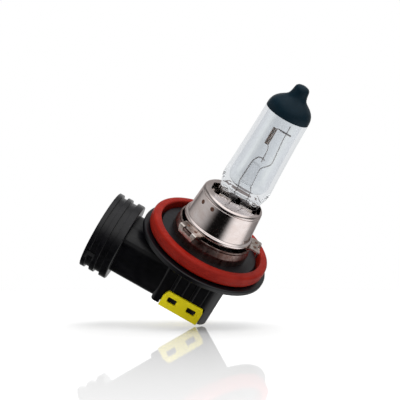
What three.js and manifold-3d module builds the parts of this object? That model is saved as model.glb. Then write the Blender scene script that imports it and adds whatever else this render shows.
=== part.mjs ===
// Single-filament halogen headlight bulb with a right-angle connector base.
// Millimetres. The origin is the centre of the reference plane, which is the top of
// the three locating lugs. +Z runs along the lamp to the tip of the glass, and the
// connector points to -X.
import * as THREE from "three";
import { mergeVertices } from "three/addons/utils/BufferGeometryUtils.js";
import Module from "manifold-3d";

const wasm = await Module();
wasm.setup();

// ---------- driving dimensions ----------
const SIDES = 48; // sides of a full turn
const GAP = 0.3; // clearance where one piece is cut to take another
const BEYOND = 1; // how far a cutting tool reaches past the face that it opens

const GLASS_X = 0.7; // the glass stands off the lamp axis; the filament is on it
const PINCH = { halfX: 5.0, halfY: 1.7, bottom: 3.2, top: 11.6 };
const COAT = { edge: 30.8, thick: 0.2, gap: 0.05 }; // black paint over the dome
const TIP_Z = 37.8;

const FILAMENT_Z = 25; // light centre length
const COIL = { length: 4.2, radius: 0.46, wire: 0.1, turns: 11 };
const BAR_RADIUS = 0.22; // the thicker bars clamped on the ends of the filament
const SUPPORT_RADIUS = 0.2;
const LEAD_X = [-0.35, 2.7]; // the two wires where they enter the pinch
const LEAD_RADIUS = 0.3;
const FOIL = { width: 2.0, thick: 0.1, bottom: 5.2, top: 9.6 };
const BRIDGE = { x: [-1.5, 3.0], halfY: 0.9, z: [13.2, 17.0], corner: 0.4 };

const SHELL = { bottom: 0.1, top: 8.3, rim: 7.1, groove: 7.45, foot: 7.95, bead: 8.5, wall: 0.4 };
const WINDOW = { halfX: 6.1, halfY: 3.1, corner: 1.5 }; // pinch opening of the shell
const HOLDER = { bottom: 4.6, web: 6.4, sheet: 0.35, tongueX: 3.2, tongueTop: 9.6 };
const LUG = { inner: 6.6, plate: 8.6, outer: 11.3, width: 5.6, thick: 0.5, drop: 1.4 };
const LUG_ANGLES = [0, 120, 240]; // degrees about the lamp axis
const SKIRT = { radius: 9.5, wall: 0.4, top: -0.9, bottom: -6.4, lip: 0.35 };

const SEAL = { inner: 12.7, outer: 14.9, bottom: -5.7, top: -2.8, corner: 0.7 };
const SPIGOT = { radius: 12.3, top: -4.1, bevel: 0.3 };
const FLANGE = { radius: 15.8, top: -6.0, bottom: -7.2, bevel: 0.2 };
const BODY = { left: -5.4, right: 9.0, halfY: 7.0, bottom: -22.1, corner: 2.6 };
const CHAMBER = { left: -3.4, right: 6.8, halfY: 5.0, top: -9, bore: 7.4, throat: 5.6 };
const FACE_RIB = { x: [-1.9, 3.1], halfWidth: 0.4, height: 0.45 };

const PORT_Z = -16.2; // axis of the connector
const COLLAR = { front: -24.0, back: -17.1, radius: 9.8, groove: 9.2, cup: 7.9, cupEnd: -17.6 };
const COLLAR_RIBS = [[-24.0, -22.9], [-21.6, -20.4], [-18.9, -17.1]];
const NECK = { halfY: 6.8, halfZ: 6.5, corner: 4.4 };
const SOCKET = { halfY: 5.3, halfZ: 5.0, corner: 2, end: -9.2 };
const POCKET = { x: [-7.2, -3], halfY: 4.6, halfZ: 4.4 }; // chamber side of the terminal wall
const BLADE = { y: 3.0, halfWidth: 1.4, halfThick: 0.4, front: -21.4, riser: 1.2, top: -8.6 };

const COVER = { x: [-3.1, 7.0], top: -17.4, thick: 0.8, face: 7.3, corner: 1.1 };
const CATCH = { x: [-0.65, 4.4], z: -19.5, halfWidth: 1.0, halfHeight: 0.6, stand: 0.4 };

// ---------- closing and joining ----------
// Closes a geometry: shared corners merged, empty triangles dropped, faces outward.
function closed(geometry) {
  const bare = geometry.index ? geometry.toNonIndexed() : geometry.clone();
  bare.deleteAttribute("normal");
  bare.deleteAttribute("uv");
  const merged = mergeVertices(bare, 1e-4);
  const index = merged.index.array;
  const kept = [];
  for (let i = 0; i < index.length; i += 3) {
    const [a, b, c] = index.slice(i, i + 3);
    if (a !== b && b !== c && c !== a) kept.push(a, b, c);
  }
  if (signedVolume(merged.attributes.position, kept) < 0) kept.reverse();
  merged.setIndex(kept);
  return merged;
}

function signedVolume(position, index) {
  const corner = (i) => new THREE.Vector3().fromBufferAttribute(position, index[i]);
  let sum = 0;
  for (let i = 0; i < index.length; i += 3) {
    sum += corner(i).dot(corner(i + 1).cross(corner(i + 2))) / 6;
  }
  return sum;
}

function solid(geometry) {
  const shape = closed(geometry);
  const vertProperties = new Float32Array(shape.attributes.position.array);
  const triVerts = new Uint32Array(shape.index.array);
  return new wasm.Manifold(new wasm.Mesh({ numProp: 3, vertProperties, triVerts }));
}

function geometryOf(manifold) {
  const mesh = manifold.getMesh();
  const geometry = new THREE.BufferGeometry();
  geometry.setAttribute("position", new THREE.BufferAttribute(mesh.vertProperties, 3));
  geometry.setIndex(new THREE.BufferAttribute(mesh.triVerts, 1));
  return geometry;
}

const join = (...parts) => parts.reduce((sum, part) => sum.add(part));
const cut = (body, ...tools) => tools.reduce((rest, tool) => rest.subtract(tool), body);

// ---------- shapes ----------
// A profile of [radius, height] points turned about Z, moved sideways by x.
function turned(profile, x = 0) {
  const points = profile.map(([r, z]) => new THREE.Vector2(r, z));
  return new THREE.LatheGeometry(points, SIDES).rotateX(Math.PI / 2).translate(x, 0, 0);
}

// A closed profile turned about Z: the last point repeats the first.
const ring = (profile) => turned([...profile, profile[0]]);

// A profile of [radius, x] points turned about the connector axis.
function turnedAlongX(profile) {
  const points = profile.map(([r, x]) => new THREE.Vector2(r, x));
  return new THREE.LatheGeometry(points, SIDES).rotateZ(-Math.PI / 2).translate(0, 0, PORT_Z);
}

const spread = (half, centre = 0) => [centre - half, centre + half];
const ordered = (a, b) => [Math.min(a, b), Math.max(a, b)];

function block(x, y, z) {
  const size = [x, y, z].map(([low, high]) => high - low);
  const centre = [x, y, z].map(([low, high]) => (low + high) / 2);
  return new THREE.BoxGeometry(...size).translate(...centre);
}

function roundedOutline([x0, x1], [y0, y1], radius) {
  const shape = new THREE.Shape();
  shape.absarc(x1 - radius, y0 + radius, radius, -Math.PI / 2, 0, false);
  shape.absarc(x1 - radius, y1 - radius, radius, 0, Math.PI / 2, false);
  shape.absarc(x0 + radius, y1 - radius, radius, Math.PI / 2, Math.PI, false);
  shape.absarc(x0 + radius, y0 + radius, radius, Math.PI, 1.5 * Math.PI, false);
  return shape;
}

// A block standing along Z with its upright edges rounded.
function pillar(x, y, [low, high], radius) {
  const options = { depth: high - low, bevelEnabled: false, curveSegments: 8 };
  return new THREE.ExtrudeGeometry(roundedOutline(x, y, radius), options).translate(0, 0, low);
}

// A block lying along X with its long edges rounded, centred on the connector axis.
function beam([front, back], { halfY, halfZ, corner }) {
  const options = { depth: back - front, bevelEnabled: false, curveSegments: 8 };
  const outline = roundedOutline(spread(halfY), spread(halfZ), corner);
  const [ey, ez, ex] = [[0, 1, 0], [0, 0, 1], [1, 0, 0]].map((axis) => new THREE.Vector3(...axis));
  const turn = new THREE.Matrix4().makeBasis(ey, ez, ex);
  return new THREE.ExtrudeGeometry(outline, options).applyMatrix4(turn).translate(front, 0, PORT_Z);
}

// A round section with the given number of sides.
function section(radius, sides) {
  const circle = new THREE.Shape().absarc(0, 0, radius, 0, 2 * Math.PI, false);
  return new THREE.Shape(circle.getPoints(sides).slice(0, sides));
}

// A round wire through [x, y, z] points, with its bends softened.
function wire(points, radius, steps) {
  const corners = points.map((point) => new THREE.Vector3(...point));
  const path = new THREE.CatmullRomCurve3(corners, false, "catmullrom", 0.15);
  return new THREE.ExtrudeGeometry(section(radius, 8), { steps, extrudePath: path });
}

// ---------- glass ----------
// Body of the envelope from the pinch shoulder up to the edge of the coat, [radius, z].
const BODY_LINE = [
  [0, 10.6], [3.4, 10.6], [4.9, 11.0], [5.6, 11.9], [5.85, 13.2], [5.72, 15.4], [5.45, 20],
  [5.2, 25.4], [5.02, COAT.edge],
];
// Dome and sealed-off exhaust tip, above the edge of the coat.
const DOME_LINE = [
  [4.98, 31.5], [4.8, 32.3], [4.4, 33.1], [3.5, 34.0], [2.35, 34.8], [1.9, 35.5],
  [1.7, 36.4], [1.58, 37.0], [1.15, 37.55], [0, TIP_Z],
];
const HOLLOW_LINE = [
  [0, 12.2], [3.6, 12.2], [4.6, 13.0], [4.72, 15.4], [4.45, 20], [4.2, 25.4],
  [4.0, 30.6], [3.6, 32.0], [2.4, 33.1], [0, 33.5],
];

// The same line, closer in by a distance.
const inset = (line, by) => line.map(([r, z]) => (r ? [r - by, z] : [r, z - by]));

function envelope() {
  const step = COAT.thick + COAT.gap; // the paint fills this step, flush with the glass
  const underCoat = inset([[BODY_LINE.at(-1)[0], COAT.edge], ...DOME_LINE], step);
  const bulbGlass = solid(turned([...BODY_LINE, ...underCoat], GLASS_X));
  const pinch = solid(block(spread(PINCH.halfX, GLASS_X), spread(PINCH.halfY), [PINCH.bottom, PINCH.top]));
  const hollow = solid(turned(HOLLOW_LINE, GLASS_X));
  return cut(join(bulbGlass, pinch), hollow, ...LEAD_X.map((x) => solid(leadSlot(x))));
}

// Room through the pinch for a wire, its foil and the outer lead below it.
function leadSlot(x) {
  const z = [PINCH.bottom - BEYOND, HOLLOW_LINE[0][1] + BEYOND];
  return block(spread(FOIL.width / 2 + GAP, x), spread(LEAD_RADIUS + GAP), z);
}

function topCoat() {
  const outside = [[BODY_LINE.at(-1)[0], COAT.edge + COAT.gap], ...DOME_LINE];
  const inside = inset(outside, COAT.thick).reverse();
  return turned([...outside, ...inside, outside[0]], GLASS_X);
}

// ---------- light source ----------
const COIL_BOTTOM = FILAMENT_Z - COIL.length / 2;

// A coil about the lamp axis with a straight leg at each end, [x, y, z].
function filamentPath() {
  const stepsPerTurn = 9;
  const count = COIL.turns * stepsPerTurn;
  const turns = Array.from({ length: count + 1 }, (_, i) => {
    const angle = (2 * Math.PI * i) / stepsPerTurn;
    return [
      COIL.radius * Math.cos(angle), COIL.radius * Math.sin(angle),
      COIL_BOTTOM + (COIL.length * i) / count,
    ];
  });
  const lowerLeg = [[1.0, 0, 21.3], [0.9, 0, 21.9], [0.7, 0, 22.5]];
  const upperLeg = [[0.75, 0, 27.15], [1.0, 0, 27.1]];
  return [...lowerLeg, ...turns, ...upperLeg];
}

function filament() {
  const path = new THREE.CatmullRomCurve3(filamentPath().map((point) => new THREE.Vector3(...point)));
  return new THREE.ExtrudeGeometry(section(COIL.wire, 6), { steps: COIL.turns * 13, extrudePath: path });
}

const upperClampBar = () => wire([
  [1.25, 0, 27.1], [2.2, -0.35, 27.15], [3.65, -0.7, 27.25],
], BAR_RADIUS, 4);
const lowerClampBar = () => wire([[1.0, 0, 21.0], [1.05, 0, 19.9], [1.1, 0, 18.9]], BAR_RADIUS, 3);

// From the pinch up beside the filament, to the upper clamp bar.
const longSupport = () => wire([
  [LEAD_X[1], 0, 9.9], [LEAD_X[1], 0, 12.5], [2.2, 0.1, 17.3], [3.4, 0.3, 19.2],
  [2.75, 0.3, 27.2], [2.65, 0.3, 28.7],
], SUPPORT_RADIUS, 30);

// From the pinch over in a hook to the lower clamp bar.
const shortSupport = () => wire([
  [LEAD_X[0], 0, 9.9], [-0.8, 0, 12.5], [-0.75, 0, 17.3], [-0.6, -0.1, 18.7],
  [-0.1, -0.4, 19.5], [0.7, -0.6, 19.9], [1.5, -0.75, 19.7],
], SUPPORT_RADIUS, 30);

// Quartz bar that holds the two wires apart, notched at both ends for them.
function quartzBridge() {
  const { x, halfY, z, corner } = BRIDGE;
  const notchDepth = 1.2;
  const notches = [[x[0] - BEYOND, x[0] + notchDepth], [x[1] - notchDepth, x[1] + BEYOND]];
  const height = [z[0] - BEYOND, z[1] + BEYOND];
  const cutters = notches.map((span) => block(span, spread(SUPPORT_RADIUS + GAP), height));
  return cut(solid(pillar(x, spread(halfY), z, corner)), ...cutters.map(solid));
}

const foil = (x) => block(spread(FOIL.width / 2, x), spread(FOIL.thick / 2), [FOIL.bottom, FOIL.top]);

// From under its foil down into the base, ending beside the riser of its terminal.
function outerLead(x, y) {
  const end = BLADE.riser - 2 * BLADE.halfThick - LEAD_RADIUS - GAP / 2;
  return wire([
    [x, 0, FOIL.bottom - 0.2], [x, 0, PINCH.bottom - 0.8], [x, y / 2, -2],
    [end, y, CHAMBER.top + 1.5], [end, y, BLADE.top - 1.9],
  ], LEAD_RADIUS, 16);
}

// ---------- metal parts ----------
// Drawn cap with a beaded foot, a fine groove below its rounded rim and a flat top.
function metalShell() {
  const { bottom, top, rim, groove, foot, bead, wall } = SHELL;
  const cap = turned([
    [foot - wall, bottom], [bead, bottom], [bead + 0.12, bottom + 0.25], [bead, bottom + 0.65],
    [foot, bottom + 1.1], [groove, top - 0.95], [groove - 0.12, top - 0.85], [groove - 0.05, top - 0.72],
    [rim + 0.22, top - 0.3], [rim, top - 0.08], [rim - 0.35, top], [0, top],
    [0, top - wall], [groove - wall - 0.1, top - wall], [foot - wall, bottom + 0.7],
    [foot - wall, bottom],
  ]);
  const { halfX, halfY, corner } = WINDOW;
  const window = pillar(spread(halfX, GLASS_X), spread(halfY), spread(BEYOND, top), corner);
  return cut(solid(cap), solid(window));
}

// Sheet-metal holder inside the shell: a band with a spring tongue on each face of
// the pinch.
function pinchHolder() {
  const { bottom, web, sheet, tongueX, tongueTop } = HOLDER;
  const band = SHELL.groove - SHELL.wall - 0.45;
  const cup = turned([
    [band - sheet, bottom], [band, bottom], [band, web + sheet], [0, web + sheet],
    [0, web], [band - sheet, web], [band - sheet, bottom],
  ]);
  const window = block(spread(PINCH.halfX + GAP, GLASS_X), spread(PINCH.halfY + 0.5), spread(BEYOND, web));
  const tongues = [-1, 1].flatMap((side) => {
    const face = side * (PINCH.halfY + GAP);
    const x = spread(tongueX, GLASS_X);
    return [
      block(x, ordered(face, face + side * sheet), [web, tongueTop]),
      block(x, ordered(face, side * 3), [web, web + sheet]),
    ].map(solid);
  });
  return join(cut(solid(cup), solid(window)), ...tongues);
}

// Flat ring under the shell with three lugs whose tips turn down.
function locatingRing() {
  const { inner, plate, outer, width, thick, drop } = LUG;
  const disc = solid(ring([[inner, -thick], [plate, -thick], [plate, 0], [inner, 0]]));
  const lugs = LUG_ANGLES.flatMap((degrees) => [
    block([plate - BEYOND, outer], spread(width / 2), [-thick, 0]),
    block([outer - thick, outer], spread(width / 2 - 0.6), [-drop, 0]),
  ].map((shape) => solid(shape.rotateZ((degrees * Math.PI) / 180))));
  return join(disc, ...lugs);
}

// Steel sleeve that stands in the plastic base, with its upper edge rolled out.
function ringSkirt() {
  const { radius, wall, top, bottom, lip } = SKIRT;
  return ring([
    [radius - wall, bottom], [radius, bottom], [radius, top - lip], [radius + 0.18, top - 0.12],
    [radius + 0.05, top], [radius - wall, top], [radius - wall - 0.1, top - lip],
  ]);
}

// ---------- base ----------
const flangeAndSpigot = () => turned([
  [0, FLANGE.bottom], [FLANGE.radius - FLANGE.bevel, FLANGE.bottom],
  [FLANGE.radius, FLANGE.bottom + FLANGE.bevel], [FLANGE.radius, FLANGE.top - FLANGE.bevel],
  [FLANGE.radius - FLANGE.bevel, FLANGE.top], [SPIGOT.radius, FLANGE.top],
  [SPIGOT.radius, SPIGOT.top - SPIGOT.bevel], [SPIGOT.radius - SPIGOT.bevel, SPIGOT.top],
  [0, SPIGOT.top],
]);

// Round collar with three ribs and two grooves.
function collar() {
  const ribs = COLLAR_RIBS.flatMap(([front, back]) => [
    [COLLAR.groove, front], [COLLAR.radius, front], [COLLAR.radius, back], [COLLAR.groove, back],
  ]);
  const profile = [[0, COLLAR.front], ...ribs.slice(1, -1), [0, COLLAR.back]];
  return turnedAlongX(profile);
}

// Upright ribs on the front and back of the body.
const faceRibs = () => FACE_RIB.x.flatMap((x) => [-1, 1].map((side) => {
  const y = ordered(side * (BODY.halfY - 0.5), side * (BODY.halfY + FACE_RIB.height));
  return block(spread(FACE_RIB.halfWidth, x), y, [COVER.top + GAP, FLANGE.bottom + 0.2]);
}));

// Bore under the shell, chamber around the terminals, and the socket for the plug.
function baseHollows() {
  const bore = [
    [0, CHAMBER.top - 0.6], [CHAMBER.throat, CHAMBER.top - 0.6], [CHAMBER.throat, FLANGE.bottom],
    [CHAMBER.bore, FLANGE.top], [CHAMBER.bore, 0], [0, 0],
  ];
  const cup = [
    [0, COLLAR.front - BEYOND], [COLLAR.cup, COLLAR.front - BEYOND],
    [COLLAR.cup, COLLAR.cupEnd], [0, COLLAR.cupEnd],
  ];
  const chamberX = [CHAMBER.left, CHAMBER.right];
  return [
    turned(bore),
    block(chamberX, spread(CHAMBER.halfY), [BODY.bottom - BEYOND, CHAMBER.top]),
    block(POCKET.x, spread(POCKET.halfY), spread(POCKET.halfZ, PORT_Z)),
    turnedAlongX(cup),
    beam([COLLAR.cupEnd - BEYOND, SOCKET.end], SOCKET),
    ...[-1, 1].map(bladeSlot),
  ];
}

function bladeSlot(side) {
  const y = spread(BLADE.halfWidth + GAP, side * BLADE.y);
  const z = spread(BLADE.halfThick + GAP, PORT_Z);
  return block([SOCKET.end - BEYOND, POCKET.x[0] + BEYOND], y, z);
}

const skirtSlot = () => ring([
  [SKIRT.radius - SKIRT.wall - GAP, SKIRT.bottom - GAP], [SKIRT.radius + GAP, SKIRT.bottom - GAP],
  [SKIRT.radius + GAP, 0], [SKIRT.radius - SKIRT.wall - GAP, 0],
]);

// Recesses in the front, back and underside that the cover fills.
function coverRecess() {
  const x = spread(GAP).map((gap, i) => COVER.x[i] + gap);
  const floor = COVER.face - COVER.thick - GAP;
  const flaps = [-1, 1].map((side) => {
    const y = ordered(side * floor, side * (BODY.halfY + BEYOND));
    return block(x, y, [BODY.bottom - BEYOND, COVER.top + GAP]);
  });
  const underZ = [BODY.bottom - BEYOND, BODY.bottom + COVER.thick + GAP];
  return [...flaps, block(x, spread(BODY.halfY + BEYOND), underZ)];
}

// Catches of the base that stand in the windows of the cover.
const catchPegs = () => [-1, 1].flatMap((side) => CATCH.x.map((x) => {
  const y = ordered(side * (CHAMBER.halfY + 0.5), side * (COVER.face - CATCH.stand));
  return block(spread(CATCH.halfWidth - GAP, x), y, spread(CATCH.halfHeight - GAP, CATCH.z));
}));

function baseBody() {
  const x = [BODY.left, BODY.right];
  const column = pillar(x, spread(BODY.halfY), [BODY.bottom, FLANGE.bottom + BEYOND / 2], BODY.corner);
  const neck = beam([COLLAR.back - BEYOND, BODY.left + BEYOND], NECK);
  const outside = [flangeAndSpigot(), column, neck, collar(), ...faceRibs()];
  const removed = [...baseHollows(), skirtSlot(), ...coverRecess()];
  return join(cut(join(...outside.map(solid)), ...removed.map(solid)), ...catchPegs().map(solid));
}

// Snap-on cover: a bottom plate with a windowed flap up the front and the back.
function bottomCover() {
  const plate = block(COVER.x, spread(COVER.face), [BODY.bottom, BODY.bottom + COVER.thick]);
  const inside = COVER.face - COVER.thick;
  const flaps = [-1, 1].map((side) => flapPanel(ordered(side * inside, side * COVER.face)));
  const windows = CATCH.x.map((x) => block(
    spread(CATCH.halfWidth, x), spread(COVER.face + BEYOND), spread(CATCH.halfHeight, CATCH.z)));
  return cut(join(...[plate, ...flaps].map(solid)), ...windows.map(solid));
}

// One flap, standing between two values of y, with its upper corners cut off.
function flapPanel([y0, y1]) {
  const [x0, x1] = COVER.x;
  const { top, corner } = COVER;
  const shape = new THREE.Shape([
    [x0, BODY.bottom], [x1, BODY.bottom], [x1, top - corner], [x1 - corner * 0.4, top],
    [x0 + corner * 0.7, top], [x0, top - corner * 1.6],
  ].map(([x, z]) => new THREE.Vector2(x, z)));
  const panel = new THREE.ExtrudeGeometry(shape, { depth: y1 - y0, bevelEnabled: false });
  return panel.rotateX(Math.PI / 2).translate(0, y1, 0);
}

function sealRing() {
  const { inner, outer, bottom, top, corner } = SEAL;
  const outline = roundedOutline([inner, outer], [bottom, top], corner).getPoints(3);
  return ring(outline.map((point) => [point.x, point.y]));
}

// Flat blade in the socket, through the wall, then up to its lead.
function bladeTerminal(side) {
  const y = spread(BLADE.halfWidth, side * BLADE.y);
  const blade = block([BLADE.front, BLADE.riser], y, spread(BLADE.halfThick, PORT_Z));
  const riser = block([BLADE.riser - 2 * BLADE.halfThick, BLADE.riser], y, [PORT_Z, BLADE.top]);
  return join(solid(blade), solid(riser));
}

// ---------- the assembly ----------
const look = (color, roughness, metalness = 0) =>
  new THREE.MeshStandardMaterial({ color, roughness, metalness });
const LOOKS = {
  glass: look("#dfe4e8", 0.05),
  coat: look("#11242c", 0.25),
  tungsten: look("#5a5450", 0.5, 0.9),
  wire: look("#77706c", 0.4, 0.9),
  foil: look("#8a8684", 0.4, 0.9),
  quartz: look("#c9c9cf", 0.1),
  steel: look("#c4b4ac", 0.25, 1),
  ring: look("#b3a79e", 0.35, 1),
  plastic: look("#17171c", 0.45),
  rubber: look("#b0321f", 0.5),
  cover: look("#cdbd0a", 0.5),
  brass: look("#b9a878", 0.35, 1),
};

const bulb = new THREE.Group();

function add(name, shape, material) {
  const geometry = closed(shape.isBufferGeometry ? shape : geometryOf(shape));
  const mesh = new THREE.Mesh(geometry, LOOKS[material]);
  mesh.name = name;
  bulb.add(mesh);
}

add("glass_envelope", envelope(), "glass");
add("black_top_coat", topCoat(), "coat");
add("filament", filament(), "tungsten");
add("upper_clamp_bar", upperClampBar(), "wire");
add("lower_clamp_bar", lowerClampBar(), "wire");
add("long_support_wire", longSupport(), "wire");
add("short_support_wire", shortSupport(), "wire");
add("quartz_bridge", quartzBridge(), "quartz");
[["front", -1], ["back", 1]].forEach(([place, side], i) => {
  add(`foil_${place}`, foil(LEAD_X[i]), "foil");
  add(`outer_lead_${place}`, outerLead(LEAD_X[i], side * BLADE.y), "wire");
  add(`blade_terminal_${place}`, bladeTerminal(side), "brass");
});
add("pinch_holder", pinchHolder(), "ring");
add("metal_shell", metalShell(), "steel");
add("locating_ring", locatingRing(), "ring");
add("ring_skirt", ringSkirt(), "ring");
add("base_body", baseBody(), "plastic");
add("seal_ring", sealRing(), "rubber");
add("bottom_cover", bottomCover(), "cover");

export default bulb;
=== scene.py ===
import math

import bmesh
import bpy
from mathutils import Matrix, Vector


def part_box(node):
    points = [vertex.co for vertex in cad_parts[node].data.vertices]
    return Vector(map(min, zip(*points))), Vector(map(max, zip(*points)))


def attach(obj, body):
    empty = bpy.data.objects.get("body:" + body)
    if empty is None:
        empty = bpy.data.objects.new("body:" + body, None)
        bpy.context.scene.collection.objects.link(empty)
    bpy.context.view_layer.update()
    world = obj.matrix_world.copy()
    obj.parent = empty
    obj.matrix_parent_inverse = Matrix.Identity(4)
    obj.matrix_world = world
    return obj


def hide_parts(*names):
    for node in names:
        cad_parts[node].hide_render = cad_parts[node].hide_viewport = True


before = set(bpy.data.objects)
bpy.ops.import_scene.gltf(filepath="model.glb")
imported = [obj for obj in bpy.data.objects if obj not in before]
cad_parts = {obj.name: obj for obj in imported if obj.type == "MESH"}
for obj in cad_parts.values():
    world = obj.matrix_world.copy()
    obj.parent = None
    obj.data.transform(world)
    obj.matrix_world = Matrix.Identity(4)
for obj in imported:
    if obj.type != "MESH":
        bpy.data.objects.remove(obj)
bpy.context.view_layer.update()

MM = 0.001
TURN = 2 * math.pi


# ---------- sizes read from the frame, in millimetres ----------
def corners(node):
    low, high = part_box(node)
    return Vector(low) / MM, Vector(high) / MM


GLASS_LOW, GLASS_HIGH = corners("glass_envelope")
COAT_LOW, COAT_HIGH = corners("black_top_coat")
SHELL_LOW, SHELL_HIGH = corners("metal_shell")
LUGS_LOW, LUGS_HIGH = corners("locating_ring")
SKIRT_LOW, SKIRT_HIGH = corners("ring_skirt")
SEAL_LOW, SEAL_HIGH = corners("seal_ring")
BASE_LOW, BASE_HIGH = corners("base_body")
COVER_LOW, COVER_HIGH = corners("bottom_cover")
BLADE_LOW, BLADE_HIGH = corners("blade_terminal_front")

GLASS_X = (GLASS_LOW.x + GLASS_HIGH.x) / 2  # the glass stands off the lamp axis
BLADE_THICK = 0.8
BLADE_Y = (abs(BLADE_LOW.y) + abs(BLADE_HIGH.y)) / 2  # each blade's middle, either side of y = 0
PORT_Z = (BLADE_LOW.z * 2 + BLADE_THICK) / 2  # axis of the connector, half a blade above its face
COLLAR_RADIUS = PORT_Z - BASE_LOW.z
FLANGE_RADIUS = BASE_HIGH.x
COLUMN_BOTTOM = COVER_LOW.z


# ---------- outlines ----------
def smooth(a, b, x):
    t = min(max((x - a) / (b - a), 0), 1)
    return t * t * (3 - 2 * t)


def mirrored(near, far):
    """The two y ranges of a shape that stands on both sides of y = 0."""
    return [sorted((side * near, side * far)) for side in (-1, 1)]


def rounded(points, steps=5):
    """An open line of (u, v, radius) corners, with each corner turned into an arc."""
    line = []
    for i, (u, v, radius) in enumerate(points):
        here = Vector((u, v))
        if radius == 0 or i in (0, len(points) - 1):
            line.append(here)
            continue
        before = (Vector(points[i - 1][:2]) - here).normalized()
        after = (Vector(points[i + 1][:2]) - here).normalized()
        half = before.angle(after) / 2
        reach = radius / math.tan(half)
        centre = here + (before + after).normalized() * (radius / math.sin(half))
        start, end = here + before * reach - centre, here + after * reach - centre
        sweep = start.angle_signed(end)
        for k in range(steps + 1):
            line.append(centre + Matrix.Rotation(-sweep * k / steps, 2) @ start)
    return line


def rounded_loop(points, steps=5):
    """The same for a closed line."""
    ring = [points[-1], *points, points[0]]
    return rounded(ring, steps)[1:-1]


def rectangle(u, v, radii, steps=8):
    """A closed rectangle; radii are for the corners (low, low), (high, low), (high, high), (low, high)."""
    (u0, u1), (v0, v1) = u, v
    places = [(u0, v0), (u1, v0), (u1, v1), (u0, v1)]
    return rounded_loop([(*place, r) for place, r in zip(places, radii)], steps)


# ---------- meshes ----------
ALONG_Z = Matrix.Identity(4)
ALONG_X = Matrix(((0, 0, 1, 0), (1, 0, 0, 0), (0, 1, 0, 0), (0, 0, 0, 1)))  # u, v, w = y, z, x
ALONG_Y = Matrix(((1, 0, 0, 0), (0, 0, 1, 0), (0, 1, 0, 0), (0, 0, 0, 1)))  # u, v, w = x, z, y


def to_object(bm, name, outward=True):
    if outward:
        bmesh.ops.recalc_face_normals(bm, faces=bm.faces)
    for face in bm.faces:
        face.smooth = True
    mesh = bpy.data.meshes.new(name)
    bm.to_mesh(mesh)
    bm.free()
    mesh.transform(Matrix.Scale(MM, 4))
    piece = bpy.data.objects.new(name, mesh)
    bpy.context.scene.collection.objects.link(piece)
    return piece


def crease(piece, degrees=32):
    """Shades a piece smooth, apart from edges sharper than the angle."""
    piece.data.polygons.foreach_set("use_smooth", [True] * len(piece.data.polygons))
    piece.data.set_sharp_from_angle(angle=math.radians(degrees))
    piece.data.update()
    return piece


def skin(bm, rings, closed=False, capped=False):
    """Joins rings of vertices; a ring of one vertex is a point, and caps fill the two end rings."""
    pairs = list(zip(rings, rings[1:]))
    if closed:
        pairs.append((rings[-1], rings[0]))
    for low, high in pairs:
        count = max(len(low), len(high))
        for i in range(count):
            j = (i + 1) % count
            around = [low[i % len(low)], low[j % len(low)], high[j % len(high)], high[i % len(high)]]
            unique = list(dict.fromkeys(around))
            if len(unique) > 2:
                bm.faces.new(unique)
    if capped:
        bm.faces.new(rings[0])
        bm.faces.new(rings[-1])


def lathe_mesh(profile, turn=ALONG_Z, centre=(0, 0, 0), sides=112, closed=False):
    """A line of (radius, height) turned about its own axis."""
    bm = bmesh.new()
    rings = []
    for radius, height in profile:
        if radius < 1e-6:
            rings.append([bm.verts.new((0, 0, height))])
            continue
        angles = (TURN * i / sides for i in range(sides))
        rings.append([bm.verts.new((radius * math.cos(a), radius * math.sin(a), height)) for a in angles])
    skin(bm, rings, closed)
    bm.transform(Matrix.Translation(centre) @ turn)
    return bm


def lathe(name, profile, **options):
    return crease(to_object(lathe_mesh(profile, **options), name))


def inset(outline, by):
    """A closed, convex outline moved inwards."""
    count = len(outline)
    area = sum(a.x * b.y - b.x * a.y for a, b in zip(outline, outline[1:] + outline[:1]))
    side = 1 if area > 0 else -1
    moved = []
    for i, point in enumerate(outline):
        along = (outline[(i + 1) % count] - outline[i - 1]).normalized()
        moved.append(point + Vector((-along.y, along.x)) * (by * side))
    return moved


def prism(name, outline, low, high, bevel=(0, 0), turn=ALONG_Z, steps=4):
    """A closed outline drawn out from low to high, with its two rims rounded."""
    bm = bmesh.new()
    rings = []
    arc = [math.pi / 2 * k / steps for k in range(steps + 1)]
    lower = [(low + bevel[0] * (1 - math.cos(a)), bevel[0] * (1 - math.sin(a))) for a in arc]
    upper = [(high - bevel[1] * (1 - math.cos(a)), bevel[1] * (1 - math.sin(a))) for a in arc]
    levels = (lower if bevel[0] else [(low, 0)]) + (upper[::-1] if bevel[1] else [(high, 0)])
    for height, by in levels:
        points = inset(outline, by) if by else outline
        rings.append([bm.verts.new((p.x, p.y, height)) for p in points])
    skin(bm, rings, capped=True)
    bm.transform(turn)
    return crease(to_object(bm, name))


def slab(name, x, y, z, bevel):
    """A box with all of its edges rounded."""
    bm = bmesh.new()
    bmesh.ops.create_cube(bm, size=1)
    size = Vector((x[1] - x[0], y[1] - y[0], z[1] - z[0]))
    centre = Vector((x[0] + x[1], y[0] + y[1], z[0] + z[1])) / 2
    bm.transform(Matrix.Translation(centre) @ Matrix.Diagonal((*size, 1)))
    if bevel:
        bmesh.ops.bevel(bm, geom=bm.edges[:], offset=bevel, segments=3, profile=0.5, affect="EDGES")
    return crease(to_object(bm, name))


def apply_modifiers(piece):
    graph = bpy.context.evaluated_depsgraph_get()
    mesh = bpy.data.meshes.new_from_object(piece.evaluated_get(graph))
    piece.modifiers.clear()
    piece.data = mesh
    return piece


def combine(piece, others, operation):
    """Cuts other pieces out of a piece, or joins them to it, and deletes them."""
    for each in (piece, *others):
        each.data.transform(Matrix.Scale(1 / MM, 4))  # the solver is surer of larger numbers
    for other in others:
        step = piece.modifiers.new(operation, "BOOLEAN")
        step.operation, step.object, step.solver = operation, other, "EXACT"
    apply_modifiers(piece)
    piece.data.transform(Matrix.Scale(MM, 4))
    for other in others:
        bpy.data.objects.remove(other)
    return crease(piece)


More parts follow.
